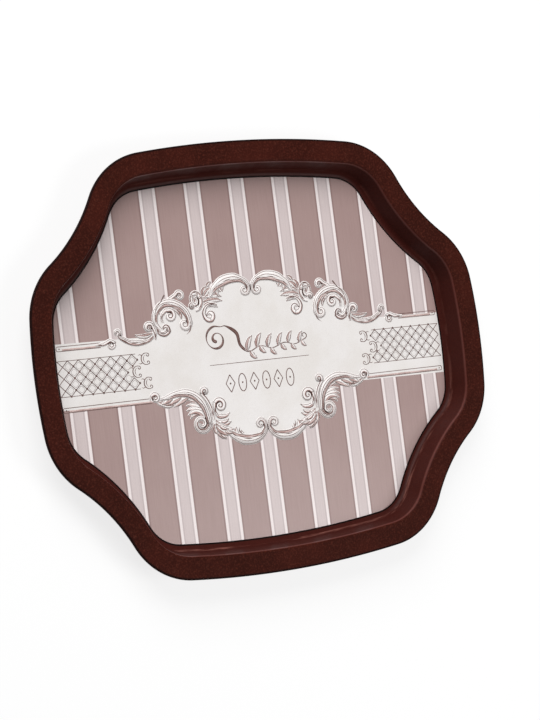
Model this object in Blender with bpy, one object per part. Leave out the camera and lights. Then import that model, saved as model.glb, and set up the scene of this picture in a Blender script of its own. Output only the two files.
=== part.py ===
# A moulded serving tray with a printed sheet in its floor and four non-slip pads under it.
# Metres, +Z up. The tray lies flat, face up, and the origin is under its middle, on the surface it stands on.

from math import atan2, cos, pi, radians, sin, sqrt, tan

import bmesh
import bpy
from mathutils import Vector

# Outline: bowed sides and ends, eight round corners, and a hollow waist across each diagonal.
LENGTH = 0.330
WIDTH = 0.275
SIDE_RADIUS = 0.680
SIDE_HALF_SWEEP = radians(6.5)
END_RADIUS = 0.365
END_HALF_SWEEP = radians(5.6)
CORNER_RADIUS = 0.047
WAIST_RADIUS = 0.115

# Section through the rim, measured inwards from the outer edge.
HEIGHT = 0.020
WALL_THICKNESS = 0.002
PRINT_TOP = 0.0044
PRINT_INSET = 0.022
FOOT_FILLET = 0.0045
RIDGE_ROUND = 0.0015
DRAFT = radians(15)
UNDERSIDE_ROUND = 0.0065
LIP_ROOT_ROUND = 0.001

# Printed sheet, set flush into a shallow recess of the floor.
SHEET_THICKNESS = 0.0005
SHEET_GAP = 0.0003

# Non-slip pads, each in a round socket of the underside.
PAD_RADIUS = 0.007
PAD_STAND_OFF = 0.0012
SOCKET_DEPTH = 0.0008
PAD_GAP = 0.0003
PAD_EDGE = 0.0003
PAD_X = 0.090
PAD_Y = 0.066
PAD_SIDES = 32
PAD_PLACES = {
    "foot_pad_front_left": (-PAD_X, -PAD_Y),
    "foot_pad_front_right": (PAD_X, -PAD_Y),
    "foot_pad_rear_left": (-PAD_X, PAD_Y),
    "foot_pad_rear_right": (PAD_X, PAD_Y),
}

# Straight facets along each stretch of a quarter of the outline, from the long side round to the end.
SIDE_FACETS = 3
CORNER_FACETS = 8
WAIST_FACETS = 6
END_FACETS = 2

# Facets round each fillet of the section.
FILLET_FACETS = 4
RIDGE_FACETS = 3
LIP_EDGE_FACETS = 4
ROOT_FACETS = 2

SMOOTH_BELOW = radians(35)


def clear_scene():
    for found in list(bpy.data.objects):
        bpy.data.objects.remove(found)


def heading(vector):
    return atan2(vector.y, vector.x)


def quarter_arcs():
    """(centre, radius, start, end, bulge, facets) of each arc from the +Y side round to the +X end.
    bulge is 1 where the outline swells outwards and -1 where it hollows in."""
    side_centre = Vector((0, WIDTH / 2 - SIDE_RADIUS))
    end_centre = Vector((LENGTH / 2 - END_RADIUS, 0))
    side_end = pi / 2 - SIDE_HALF_SWEEP
    towards_side_end = Vector((cos(side_end), sin(side_end)))
    towards_end_start = Vector((cos(END_HALF_SWEEP), sin(END_HALF_SWEEP)))
    side_corner = side_centre + (SIDE_RADIUS - CORNER_RADIUS) * towards_side_end
    end_corner = end_centre + (END_RADIUS - CORNER_RADIUS) * towards_end_start

    # The waist's circle touches both corner circles from outside.
    between = end_corner - side_corner
    reach = sqrt((WAIST_RADIUS + CORNER_RADIUS) ** 2 - (between.length / 2) ** 2)
    outwards = Vector((-between.y, between.x)).normalized()
    waist = (side_corner + end_corner) / 2 + reach * outwards

    return [
        (side_centre, SIDE_RADIUS, pi / 2, side_end, 1, SIDE_FACETS),
        (side_corner, CORNER_RADIUS, side_end, heading(waist - side_corner), 1, CORNER_FACETS),
        (
            waist,
            WAIST_RADIUS,
            heading(side_corner - waist),
            heading(end_corner - waist),
            -1,
            WAIST_FACETS,
        ),
        (end_corner, CORNER_RADIUS, heading(waist - end_corner), END_HALF_SWEEP, 1, CORNER_FACETS),
        (end_centre, END_RADIUS, END_HALF_SWEEP, 0, 1, END_FACETS),
    ]


def quarter_line(inset):
    """Points of the quarter outline, moved inwards by inset, from the +Y side to the +X end."""
    points = []
    for centre, radius, start, end, bulge, facets in quarter_arcs():
        offset_radius = radius - bulge * inset
        for step in range(facets):
            angle = start + (end - start) * step / facets
            points.append(centre + offset_radius * Vector((cos(angle), sin(angle))))
    points.append(Vector((LENGTH / 2 - inset, 0)))
    return points


def outline(inset):
    """The whole outline moved inwards by inset, anticlockwise from the +X end."""
    line = quarter_line(inset)
    quarter = [(point.x, point.y) for point in reversed(line)]
    back = quarter[::-1]
    loop = quarter[:-1]
    loop += [(-x, y) for x, y in back[:-1]]
    loop += [(-x, -y) for x, y in quarter[:-1]]
    loop += [(x, -y) for x, y in back[:-1]]
    return loop


def fillet(centre, radius, start, end, facets):
    """Points (inset, z) of an arc in the section, both ends included."""
    inset, z = centre
    angles = [start + (end - start) * step / facets for step in range(facets + 1)]
    return [(inset + radius * cos(angle), z + radius * sin(angle)) for angle in angles]


def rim_section():
    """(inset, z) all the way over the rim, from the recess in the floor to the underside."""
    recess = PRINT_TOP - SHEET_THICKNESS - SHEET_GAP
    wall_angle = pi / 2 + DRAFT
    foot = fillet(
        (PRINT_INSET, PRINT_TOP + FOOT_FILLET), FOOT_FILLET, -pi / 2, -pi + DRAFT, FILLET_FACETS
    )
    wall_foot_inset, wall_foot_z = foot[-1]
    ridge_z = HEIGHT - RIDGE_ROUND
    wall_head_z = ridge_z + RIDGE_ROUND * sin(DRAFT)
    wall_head_inset = wall_foot_inset - (wall_head_z - wall_foot_z) * tan(DRAFT)
    ridge_inset = wall_head_inset - RIDGE_ROUND * cos(DRAFT)
    ridge = fillet((ridge_inset, ridge_z), RIDGE_ROUND, DRAFT, pi / 2, RIDGE_FACETS)

    edge_round = WALL_THICKNESS / 2
    lip_edge = fillet(
        (edge_round, HEIGHT - edge_round), edge_round, pi / 2, 3 * pi / 2, LIP_EDGE_FACETS
    )

    # The outer face of the wall runs parallel to the inner one.
    outer_shift = WALL_THICKNESS / cos(DRAFT)

    def outer_inset(z):
        return wall_head_inset - outer_shift + (wall_head_z - z) * tan(DRAFT)

    root_z = HEIGHT - WALL_THICKNESS - LIP_ROOT_ROUND
    root_inset = outer_inset(root_z) - LIP_ROOT_ROUND / cos(DRAFT)
    root = fillet((root_inset, root_z), LIP_ROOT_ROUND, pi / 2, DRAFT, ROOT_FACETS)
    heel_z = PAD_STAND_OFF + UNDERSIDE_ROUND
    heel_inset = outer_inset(heel_z) + UNDERSIDE_ROUND / cos(DRAFT)
    heel = fillet(
        (heel_inset, heel_z), UNDERSIDE_ROUND, wall_angle + pi / 2, 3 * pi / 2, FILLET_FACETS
    )
    return [(PRINT_INSET, recess), *foot, *ridge, *lip_edge, *root, *heel]


def closed_from_rings(name, rings):
    """A closed solid skinned over rings of equal length, with a flat face on the first and the last."""
    work = bmesh.new()
    loops = [[work.verts.new(point) for point in ring] for ring in rings]
    count = len(rings[0])
    for near, far in zip(loops, loops[1:]):
        for index in range(count):
            after = (index + 1) % count
            work.faces.new((near[index], near[after], far[after], far[index]))
    work.faces.new(loops[0])
    work.faces.new(loops[-1])
    bmesh.ops.recalc_face_normals(work, faces=work.faces)
    mesh = bpy.data.meshes.new(name)
    work.to_mesh(mesh)
    work.free()
    made = bpy.data.objects.new(name, mesh)
    bpy.context.scene.collection.objects.link(made)
    return made


def plain_material(made, colour, roughness, coat=0.0):
    material = bpy.data.materials.new(made.name)
    material.use_nodes = True
    shader = material.node_tree.nodes["Principled BSDF"]
    shader.inputs["Base Color"].default_value = (*colour, 1)
    shader.inputs["Roughness"].default_value = roughness
    shader.inputs["Metallic"].default_value = 0
    shader.inputs["Coat Weight"].default_value = coat
    made.data.materials.append(material)


def shade_round(made):
    made.data.shade_smooth()
    made.data.set_sharp_from_angle(angle=SMOOTH_BELOW)


def disc(name, radius, low, high):
    """A closed upright disc about the Z axis."""
    angles = [2 * pi * side / PAD_SIDES for side in range(PAD_SIDES)]
    rings = [[(radius * cos(a), radius * sin(a), z) for a in angles] for z in (low, high)]
    return closed_from_rings(name, rings)


def make_body():
    rings = [[(x, y, z) for x, y in outline(inset)] for inset, z in rim_section()]
    body = closed_from_rings("tray_body", rings)
    plain_material(body, (0.045, 0.010, 0.007), 0.45)
    shade_round(body)
    return body


def make_sheet():
    top = PRINT_TOP
    edge = outline(PRINT_INSET + SHEET_GAP)
    rings = [[(x, y, z) for x, y in edge] for z in (top - SHEET_THICKNESS, top)]
    sheet = closed_from_rings("decor_sheet", rings)
    plain_material(sheet, (0.50, 0.38, 0.35), 0.35, coat=0.3)
    return sheet


def make_pad(name, place):
    pad = disc(name, PAD_RADIUS, 0, PAD_STAND_OFF + SOCKET_DEPTH - PAD_GAP)
    pad.location = (*place, 0)
    bevel = pad.modifiers.new("soft_edge", "BEVEL")
    bevel.width = PAD_EDGE
    bevel.segments = 1
    bevel.limit_method = "ANGLE"
    plain_material(pad, (0.020, 0.019, 0.018), 0.8)
    shade_round(pad)
    return pad


def cut_socket(body, name, place):
    cutter = disc(name, PAD_RADIUS + PAD_GAP, 0, PAD_STAND_OFF + SOCKET_DEPTH)
    cutter.location = (*place, 0)
    cutter.hide_render = True
    cutter.display_type = "WIRE"
    cut = body.modifiers.new(name, "BOOLEAN")
    cut.operation = "DIFFERENCE"
    cut.solver = "EXACT"
    cut.object = cutter


clear_scene()
tray_body = make_body()
make_sheet()
for pad_name, pad_place in PAD_PLACES.items():
    make_pad(pad_name, pad_place)
    cut_socket(tray_body, pad_name.replace("foot_pad", "socket"), pad_place)
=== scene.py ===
from math import atan2, ceil, cos, degrees, hypot, pi, radians, sin, sqrt, tan

import bmesh
import bpy
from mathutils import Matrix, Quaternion, Vector


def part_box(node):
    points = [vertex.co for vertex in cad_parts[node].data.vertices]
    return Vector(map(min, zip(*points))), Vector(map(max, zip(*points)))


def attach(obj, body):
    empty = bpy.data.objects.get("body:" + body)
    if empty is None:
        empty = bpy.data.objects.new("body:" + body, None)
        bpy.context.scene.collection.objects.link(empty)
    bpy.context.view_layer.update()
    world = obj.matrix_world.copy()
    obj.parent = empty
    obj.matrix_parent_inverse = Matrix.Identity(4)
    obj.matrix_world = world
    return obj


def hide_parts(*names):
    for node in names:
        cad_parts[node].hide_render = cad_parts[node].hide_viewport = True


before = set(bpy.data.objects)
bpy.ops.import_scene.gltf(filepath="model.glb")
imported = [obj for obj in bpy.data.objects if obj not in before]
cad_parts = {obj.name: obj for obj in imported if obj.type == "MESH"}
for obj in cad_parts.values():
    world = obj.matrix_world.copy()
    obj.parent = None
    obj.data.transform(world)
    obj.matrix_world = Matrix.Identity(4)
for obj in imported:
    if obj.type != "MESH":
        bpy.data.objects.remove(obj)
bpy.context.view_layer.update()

# A moulded serving tray, face up on a pale floor, with a printed sheet in its floor.
# Metres throughout, except the print, which is drawn in millimetres from its own middle.
mm = 0.001
weldDistance = 1e-6  # points nearer than this are joined
bodyLow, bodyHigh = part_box("tray_body")
sheetLow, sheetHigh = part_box("decor_sheet")
padLow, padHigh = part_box("foot_pad_rear_right")
trayLength = bodyHigh.x - bodyLow.x
trayWidth = bodyHigh.y - bodyLow.y


def tone(red, green, blue):  # a screen colour from 0 to 255, as the linear colour a shader takes
    linear = []
    for part in (red / 255, green / 255, blue / 255):
        linear.append(part / 12.92 if part <= 0.04045 else ((part + 0.055) / 1.055) ** 2.4)
    return (*linear, 1)


# Helpers for the shader and geometry trees.


class Number:  # a number socket, so that sums on it add Math nodes
    def __init__(self, nodes, socket):
        self.nodes = nodes
        self.socket = socket

    def math(self, operation, *values):
        made = self.nodes.add("ShaderNodeMath", {"operation": operation}, dict(enumerate(values)))
        return Number(self.nodes, made.outputs[0])

    def __add__(self, other):
        return self.math("ADD", self, other)

    def __sub__(self, other):
        return self.math("SUBTRACT", self, other)

    def __rsub__(self, other):
        return self.math("SUBTRACT", other, self)

    def __mul__(self, other):
        return self.math("MULTIPLY", self, other)

    def __truediv__(self, other):
        return self.math("DIVIDE", self, other)

    def __abs__(self):
        return self.math("ABSOLUTE", self)

    __radd__ = __add__
    __rmul__ = __mul__

    def ramp(self, low, high):  # 0 below low and 1 above high, with a soft step between
        settings = {"interpolation_type": "SMOOTHSTEP"}
        made = self.nodes.add("ShaderNodeMapRange", settings, {0: self, 1: low, 2: high})
        return Number(self.nodes, made.outputs[0])


class Nodes:  # adds nodes to one shader or geometry tree
    def __init__(self, tree):
        self.tree = tree

    def add(self, kind, settings=None, sockets=None):
        made = self.tree.nodes.new(kind)
        for name, value in (settings or {}).items():
            setattr(made, name, value)
        for key, value in (sockets or {}).items():
            value = value.socket if isinstance(value, Number) else value
            if isinstance(value, bpy.types.NodeSocket):
                self.tree.links.new(value, made.inputs[key])
            else:
                made.inputs[key].default_value = value
        return made

    def number(self, kind, settings=None, sockets=None, output=0):
        return Number(self, self.add(kind, settings, sockets).outputs[output])

    def mix(self, factor, first, second):
        sockets = {0: factor, 6: first, 7: second}
        return self.add("ShaderNodeMix", {"data_type": "RGBA"}, sockets).outputs[2]

    def vector(self, x=0.0, y=0.0, z=0.0):
        return self.add("ShaderNodeCombineXYZ", None, {0: x, 1: y, 2: z}).outputs[0]

    def noise(self, vector, scale, detail, roughness):
        sockets = {"Vector": vector, "Scale": scale, "Detail": detail, "Roughness": roughness}
        return self.number("ShaderNodeTexNoise", None, sockets)


class Finish(Nodes):  # a material, with its shader ready for its colours
    def __init__(self, name, constants):
        self.material = bpy.data.materials.new(name)
        self.material.use_nodes = True
        super().__init__(self.material.node_tree)
        self.shader = self.tree.nodes["Principled BSDF"]
        self.place = self.add("ShaderNodeTexCoord").outputs["Object"]
        for socket, value in constants.items():
            self.shader.inputs[socket].default_value = value

    def paint(self, **values):
        for name, value in values.items():
            value = value.socket if isinstance(value, Number) else value
            self.tree.links.new(value, self.shader.inputs[name.replace("_", " ")])

    def bump(self, height, distance):
        sockets = {"Height": height, "Distance": distance}
        return self.add("ShaderNodeBump", None, sockets).outputs[0]


def geometryTree(name, inputs):
    tree = bpy.data.node_groups.new(name, "GeometryNodeTree")
    sockets = tree.interface.new_socket
    sockets("Geometry", in_out="INPUT", socket_type="NodeSocketGeometry")
    for label, kind in inputs.items():
        sockets(label, in_out="INPUT", socket_type="NodeSocket" + kind)
    sockets("Geometry", in_out="OUTPUT", socket_type="NodeSocketGeometry")
    nodes = Nodes(tree)
    return nodes, nodes.add("NodeGroupInput").outputs


def closeTree(nodes, geometry, material):
    realized = nodes.add("GeometryNodeRealizeInstances", None, {0: geometry}).outputs[0]
    sockets = {"Geometry": realized, "Material": material}
    painted = nodes.add("GeometryNodeSetMaterial", None, sockets).outputs[0]
    nodes.add("NodeGroupOutput", None, {0: painted})
    return nodes.tree


# Runs a geometry tree on an object and leaves a plain mesh piece, its faces turned outwards.
def pieceFrom(name, source, tree, values, helpers=()):
    modifier = source.modifiers.new(tree.name, "NODES")
    modifier.node_group = tree
    for item in tree.interface.items_tree:
        if item.in_out == "INPUT" and item.name in values:
            modifier[item.identifier] = values[item.name]
    graph = bpy.context.evaluated_depsgraph_get()
    mesh = bpy.data.meshes.new_from_object(source.evaluated_get(graph))
    mesh.name = name
    if mesh.materials[0] is None:  # the empty slot that a curve leaves
        mesh.materials.pop(index=0)
    for used in (source, *helpers):
        bpy.data.objects.remove(used)
    work = bmesh.new()
    work.from_mesh(mesh)
    bmesh.ops.recalc_face_normals(work, faces=work.faces)
    work.to_mesh(mesh)
    work.free()
    piece = bpy.data.objects.new(name, mesh)
    bpy.context.scene.collection.objects.link(piece)
    print(name, len(mesh.polygons), "faces")
    return piece


def curveFrom(name, lines, cyclic=False):  # lines are lists of (x, y, z) or (x, y, z, radius)
    curve = bpy.data.curves.new(name, "CURVE")
    curve.dimensions = "3D"
    curve.twist_mode = "Z_UP"
    for line in lines:
        spline = curve.splines.new("POLY")
        spline.points.add(len(line) - 1)
        for point, place in zip(spline.points, line):
            point.co = (*place[:3], 1)
            point.radius = place[3] if len(place) > 3 else 1
        spline.use_cyclic_u = cyclic
    made = bpy.data.objects.new(name, curve)
    bpy.context.scene.collection.objects.link(made)
    return made


# The tray's edge: bowed sides and ends, round corners, and a hollow waist across each diagonal.
outlineShape = {
    "sideRadius": 0.680,
    "sideHalfSweep": radians(6.5),
    "endRadius": 0.365,
    "endHalfSweep": radians(5.6),
    "cornerRadius": 0.047,
    "waistRadius": 0.115,
    "step": 0.0014,  # length of one facet along the edge
}

# The section through the rim, measured inwards from the edge.
rimShape = {
    "wall": 0.002,
    "printInset": 0.022,
    "sheetGap": 0.0003,
    "footFillet": 0.0045,
    "ridgeRound": 0.0015,
    "draft": radians(15),
    "undersideRound": 0.0065,
    "lipRootRound": 0.001,
    "support": 0.0003,  # how close to a fillet a flat face gets its own row of points
    "footSteps": 10,  # facets round each fillet
    "ridgeSteps": 8,
    "edgeSteps": 12,
    "rootSteps": 4,
    "heelSteps": 10,
}


def heading(vector):
    return atan2(vector.y, vector.x)


def quarterArcs():  # (centre, radius, start, end, bulge) from the long side round to the end
    shape = outlineShape
    sideCentre = Vector((0, trayWidth / 2 - shape["sideRadius"]))
    endCentre = Vector((trayLength / 2 - shape["endRadius"], 0))
    sideEnd = pi / 2 - shape["sideHalfSweep"]
    endStart = shape["endHalfSweep"]
    corner = shape["cornerRadius"]
    towardsSide = Vector((cos(sideEnd), sin(sideEnd)))
    towardsEnd = Vector((cos(endStart), sin(endStart)))
    sideCorner = sideCentre + (shape["sideRadius"] - corner) * towardsSide
    endCorner = endCentre + (shape["endRadius"] - corner) * towardsEnd
    between = endCorner - sideCorner
    reach = sqrt((shape["waistRadius"] + corner) ** 2 - (between.length / 2) ** 2)
    waist = (sideCorner + endCorner) / 2 + reach * Vector((-between.y, between.x)).normalized()
    waistStart, waistEnd = heading(sideCorner - waist), heading(endCorner - waist)
    return [
        (sideCentre, shape["sideRadius"], pi / 2, sideEnd, 1),
        (sideCorner, corner, sideEnd, heading(waist - sideCorner), 1),
        (waist, shape["waistRadius"], waistStart, waistEnd, -1),
        (endCorner, corner, heading(waist - endCorner), endStart, 1),
        (endCentre, shape["endRadius"], endStart, 0, 1),
    ]


def outline(inset, z):  # the whole edge moved inwards by inset, anticlockwise from the +X end
    quarter = []
    for centre, radius, start, end, bulge in quarterArcs():
        count = ceil(radius * abs(end - start) / outlineShape["step"])
        for step in range(count):
            angle = start + (end - start) * step / count
            point = centre + (radius - bulge * inset) * Vector((cos(angle), sin(angle)))
            quarter.append((point.x, point.y))
    quarter.append((trayLength / 2 - inset, 0))
    quarter.reverse()
    back = quarter[::-1]
    loop = quarter[:-1] + [(-x, y) for x, y in back[:-1]]
    loop += [(-x, -y) for x, y in quarter[:-1]] + [(x, -y) for x, y in back[:-1]]
    return [(x, y, z) for x, y in loop]


def fillet(centre, radius, start, end, count):
    angles = [start + (end - start) * step / count for step in range(count + 1)]
    return [(centre[0] + radius * cos(a), centre[1] + radius * sin(a)) for a in angles]


def rimSection():  # (inset, z) over the rim, from the recess under the sheet to the underside
    shape = rimShape
    wall, draft, inset = shape["wall"], shape["draft"], shape["printInset"]
    recess = sheetLow.z - shape["sheetGap"]
    footRound = shape["footFillet"]
    footCentre = (inset, sheetHigh.z + footRound)
    foot = fillet(footCentre, footRound, -pi / 2, -pi + draft, shape["footSteps"])
    footInset, footZ = foot[-1]

    ridgeRound = shape["ridgeRound"]
    ridgeZ = bodyHigh.z - ridgeRound
    headZ = ridgeZ + ridgeRound * sin(draft)
    headInset = footInset - (headZ - footZ) * tan(draft)
    ridgeCentre = (headInset - ridgeRound * cos(draft), ridgeZ)
    ridge = fillet(ridgeCentre, ridgeRound, draft, pi / 2, shape["ridgeSteps"])
    edgeCentre = (wall / 2, bodyHigh.z - wall / 2)
    edge = fillet(edgeCentre, wall / 2, pi / 2, 3 * pi / 2, shape["edgeSteps"])

    def outerInset(z):  # the wall's outer face runs parallel to its inner one
        return headInset - wall / cos(draft) + (headZ - z) * tan(draft)

    rootRound = shape["lipRootRound"]
    rootZ = bodyHigh.z - wall - rootRound
    rootCentre = (outerInset(rootZ) - rootRound / cos(draft), rootZ)
    root = fillet(rootCentre, rootRound, pi / 2, draft, shape["rootSteps"])
    heelRound = shape["undersideRound"]
    heelZ = bodyLow.z + heelRound
    heelCentre = (outerInset(heelZ) + heelRound / cos(draft), heelZ)
    heel = fillet(heelCentre, heelRound, pi + draft, 3 * pi / 2, shape["heelSteps"])
    inside = (heel[-1][0] + shape["support"], bodyLow.z)
    return withSupports([(inset, recess), *foot, *ridge, *edge, *root, *heel, inside])


def withSupports(points):  # a row of points near both ends of each long flat stretch
    support = rimShape["support"]
    supported = [points[0]]
    for (a, b), (c, d) in zip(points, points[1:]):
        length = hypot(c - a, d - b)
        if length > 4 * support:
            for share in (support / length, 1 - support / length):
                supported.append((a + (c - a) * share, b + (d - b) * share))
        supported.append((c, d))
    return supported


# The look of the moulded plastic: a speckled matt lip and a satin wall, with a painted highlight on the
# ridge, painted glints low on the wall and painted shadow lines.
bodyLook = {
    "lip": tone(52, 18, 11),
    "lipWarm": tone(68, 25, 17),
    "wall": tone(68, 27, 22),
    # painted highlight along the ridge
    "ridge": tone(112, 56, 48),
    "grainTone": tone(38, 14, 11),
    "speckle": tone(94, 44, 33),
    "fleck": tone(112, 66, 54),
    "foot": tone(20, 8, 7),  # painted shadow: the dark line where the wall meets the print, and round the lip's outer edge
    "paintedGlint": tone(150, 98, 88),  # painted glints low on the wall
    "footLine": 0.0012,  # places along the section, measured from the recess
    "paintedGlintAt": 0.0054,
    "paintedGlintWidth": 0.0016,
    "rimFrom": 0.0318,
    "rimTo": 0.0346,
    "lipRoughness": 0.62,
    "wallRoughness": 0.42,
    "ridgeRoughness": 0.30,
    "specular": 0.06,
    "wallGloss": 0.04,  # weight of the satin coat on the wall
    "ridgeGloss": 0.4,
    "coatRoughness": 0.32,
    "grain": 1400,  # grains, streaks and patches for each metre
    "streaks": 260,
    "mottle": 38,
    "rubbing": 85,
    "patches": 22,
    "grainDepth": 0.00004,
}


def bodyFinish():
    look = bodyLook
    finish = Finish("moulded_plastic", {"Specular IOR Level": look["specular"], "IOR": 1.46})
    finish.shader.inputs["Coat Roughness"].default_value = look["coatRoughness"]
    across = finish.number("ShaderNodeAttribute", {"attribute_name": "across"}, None, 2)
    along = finish.number("ShaderNodeAttribute", {"attribute_name": "along"}, None, 2)
    parts = finish.add("ShaderNodeSeparateXYZ", None, {0: finish.place})
    height = Number(finish, parts.outputs[2])
    lip = height.ramp(bodyHigh.z - 0.0012, bodyHigh.z - 0.0002)
    ridge = height.ramp(bodyHigh.z - 0.0030, bodyHigh.z - 0.0012) * (1 - lip)

    mottle = finish.noise(finish.place, look["mottle"], 3, 0.55)
    grain = finish.noise(finish.place, look["grain"], 2, 0.6)
    fleck = finish.noise(finish.place, look["grain"] * 0.45, 1, 0.5).ramp(0.60, 0.74)
    speckle = finish.noise(finish.place, look["grain"] * 0.6, 3, 0.7)
    rubbed = finish.noise(finish.place, look["rubbing"], 4, 0.6)
    streaks = finish.noise(finish.vector(along * look["streaks"], across * 24), 1, 3, 0.65)

    colour = finish.mix(lip, look["wall"], look["lip"])
    colour = finish.mix(mottle.ramp(0.35, 0.75) * lip * 0.8, colour, look["lipWarm"])
    colour = finish.mix(grain.ramp(0.35, 0.7) * 0.35, colour, look["grainTone"])
    colour = finish.mix(speckle.ramp(0.45, 0.75) * (0.20 + lip * 0.45), colour, look["speckle"])
    colour = finish.mix(fleck * (0.03 + lip * 0.10), colour, look["fleck"])
    # Painted highlight along the ridge.
    colour = finish.mix(ridge * 0.7, colour, look["ridge"])

    # Painted glints: lighter patches low on the wall, most of them on the half of the tray that is
    # nearer.
    patch = finish.vector(along * look["patches"] + 5.5, across * 160)
    patches = finish.noise(patch, 1, 3, 0.7).ramp(0.46, 0.62)
    width = look["paintedGlintWidth"]
    paintedGlint = (1 - abs(across - look["paintedGlintAt"]).ramp(width * 0.3, width)) * patches
    glintSide = 1 - Number(finish, parts.outputs[1]).ramp(-0.07, -0.01) * 0.8
    colour = finish.mix(paintedGlint * (0.2 + streaks * 0.8) * glintSide, colour, look["paintedGlint"])

    # Painted shadow: dark lines round the lip's outer edge and at the foot of the wall.
    rim = across.ramp(look["rimFrom"], look["rimFrom"] + 0.0006)
    rim = rim * (1 - across.ramp(look["rimTo"], look["rimTo"] + 0.0006))
    colour = finish.mix(rim * 0.85, colour, look["foot"])
    foot = 1 - across.ramp(look["footLine"], look["footLine"] + 0.0005)
    foot = foot * height.ramp(bodyLow.z + 0.0020, bodyLow.z + 0.0021)
    colour = finish.mix(foot, colour, look["foot"])

    flat = look["wallRoughness"] + lip * (look["lipRoughness"] - look["wallRoughness"])
    rough = flat + (grain - 0.5) * 0.18 + (rubbed - 0.5) * 0.12 + (streaks - 0.5) * (1 - lip) * 0.35
    rough = rough - ridge * (look["wallRoughness"] - look["ridgeRoughness"])
    relief = grain * (0.25 + lip * 0.75) + streaks * (1 - lip) * 0.35 + rubbed * 0.8
    gloss = look["wallGloss"] * (1 - lip) * (0.35 + streaks * 1.3) + ridge * look["ridgeGloss"]
    relieved = finish.bump(relief, look["grainDepth"])
    finish.paint(Base_Color=colour, Roughness=rough, Coat_Weight=gloss, Normal=relieved)
    return finish.material


# Sweeps a section round a path and closes it above and below, with round sockets in the underside.
def mouldedTree():
    kinds = {
        "Section": "Object",
        "Upper Height": "Float",
        "Lower Height": "Float",
        "Sockets": "Object",
        "Socket Depth": "Float",
        "Material": "Material",
    }
    nodes, given = geometryTree("moulded_shell", kinds)

    def measured(curve, name):  # keeps the length along a curve for the material
        length = nodes.add("GeometryNodeSplineParameter").outputs["Length"]
        sockets = {"Geometry": curve, "Name": name, "Value": length}
        return nodes.add("GeometryNodeStoreNamedAttribute", None, sockets).outputs[0]

    def objectShape(socket):
        return nodes.add("GeometryNodeObjectInfo", None, {0: socket}).outputs["Geometry"]

    def filled(curve, height):  # Fill Curve works on the ground plane, so its face is lifted back
        flat = nodes.add("GeometryNodeFillCurve", {"mode": "TRIANGLES"}, {0: curve}).outputs[0]
        sockets = {0: flat, "Offset": nodes.vector(z=height)}
        return nodes.add("GeometryNodeSetPosition", None, sockets).outputs[0]

    path = measured(given["Geometry"], "along")
    section = measured(objectShape(given["Section"]), "across")
    upright = nodes.add("GeometryNodeSetCurveNormal", {"mode": "Z_UP"}, {0: path}).outputs[0]
    skin = nodes.add("GeometryNodeCurveToMesh", None, {0: upright, 1: section}).outputs[0]

    # The skin's two open edges, as curves, one above the other.
    smaller = {"operation": "LESS_THAN"}
    neighbours = nodes.number("GeometryNodeInputMeshEdgeNeighbors")
    isOpen = nodes.add("FunctionNodeCompare", smaller, {0: neighbours, 1: 1.5}).outputs[0]
    rings = nodes.add("GeometryNodeMeshToCurve", None, {0: skin, 1: isOpen}).outputs[0]
    upper = Number(nodes, given["Upper Height"])
    lower = Number(nodes, given["Lower Height"])
    position = nodes.add("GeometryNodeInputPosition").outputs[0]
    height = nodes.add("ShaderNodeSeparateXYZ", None, {0: position}).outputs[2]
    level = {0: height, 1: (upper + lower) * 0.5}
    isLower = nodes.add("FunctionNodeCompare", smaller, level).outputs[0]
    split = nodes.add("GeometryNodeSeparateGeometry", {"domain": "CURVE"}, {0: rings, 1: isLower})

    # The round sockets: holes in the lower face, with a side and a ceiling each.
    circles = objectShape(given["Sockets"])
    lowered = nodes.add("GeometryNodeJoinGeometry", None, {0: split.outputs[0]})
    nodes.tree.links.new(circles, lowered.inputs[0])
    wallLine = nodes.add("GeometryNodeCurvePrimitiveLine", None, {0: (0, 0, 0), 1: (0, -1, 0)})
    wallSize = nodes.add("GeometryNodeTransform", None, {0: wallLine.outputs[0]})
    depth = nodes.vector(1, given["Socket Depth"], 1)
    nodes.tree.links.new(depth, wallSize.inputs["Scale"])
    upCircles = nodes.add("GeometryNodeSetCurveNormal", {"mode": "Z_UP"}, {0: circles}).outputs[0]
    sides = nodes.add("GeometryNodeCurveToMesh", None, {0: upCircles, 1: wallSize.outputs[0]}).outputs[0]

    joined = nodes.add("GeometryNodeJoinGeometry")
    ceilings = filled(circles, lower + given["Socket Depth"])
    caps = (filled(lowered.outputs[0], lower), filled(split.outputs[1], upper))
    for part in (ceilings, sides, *caps, skin):
        nodes.tree.links.new(part, joined.inputs[0])
    sockets = {"Geometry": joined.outputs[0], "Distance": weldDistance}
    whole = nodes.add("GeometryNodeMergeByDistance", None, sockets).outputs[0]
    smooth = nodes.add("GeometryNodeSetShadeSmooth", None, {0: whole}).outputs[0]
    return closeTree(nodes, smooth, given["Material"])


def profile(points):  # the sweep's own x runs outwards and its y downwards
    return curveFrom("section", [[(-inset, -z, 0) for inset, z in points]])


padShape = {
    "gap": 0.0003,
    "socketDepth": 0.0008,
    "edge": 0.0004,
    "edgeSteps": 4,
    "grooves": 3,
    "grooveDepth": 0.00015,
    "grooveHalf": 0.0004,  # half its width at the surface and at its bottom
    "grooveFloor": 0.00015,
    "sides": 48,
    "socketSides": 64,
}
padCentre = (padLow + padHigh) / 2
padRadius = (padHigh.x - padLow.x) / 2
padPlaces = {
    "foot_pad_front_left": (-padCentre.x, -padCentre.y),
    "foot_pad_front_right": (padCentre.x, -padCentre.y),
    "foot_pad_rear_left": (-padCentre.x, padCentre.y),
    "foot_pad_rear_right": (padCentre.x, padCentre.y),
}


def socketRing(centre):
    sides, radius = padShape["socketSides"], padRadius + padShape["gap"]
    angles = [2 * pi * side / sides for side in range(sides)]
    return [(centre[0] + radius * cos(a), centre[1] + radius * sin(a), bodyLow.z) for a in angles]


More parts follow.
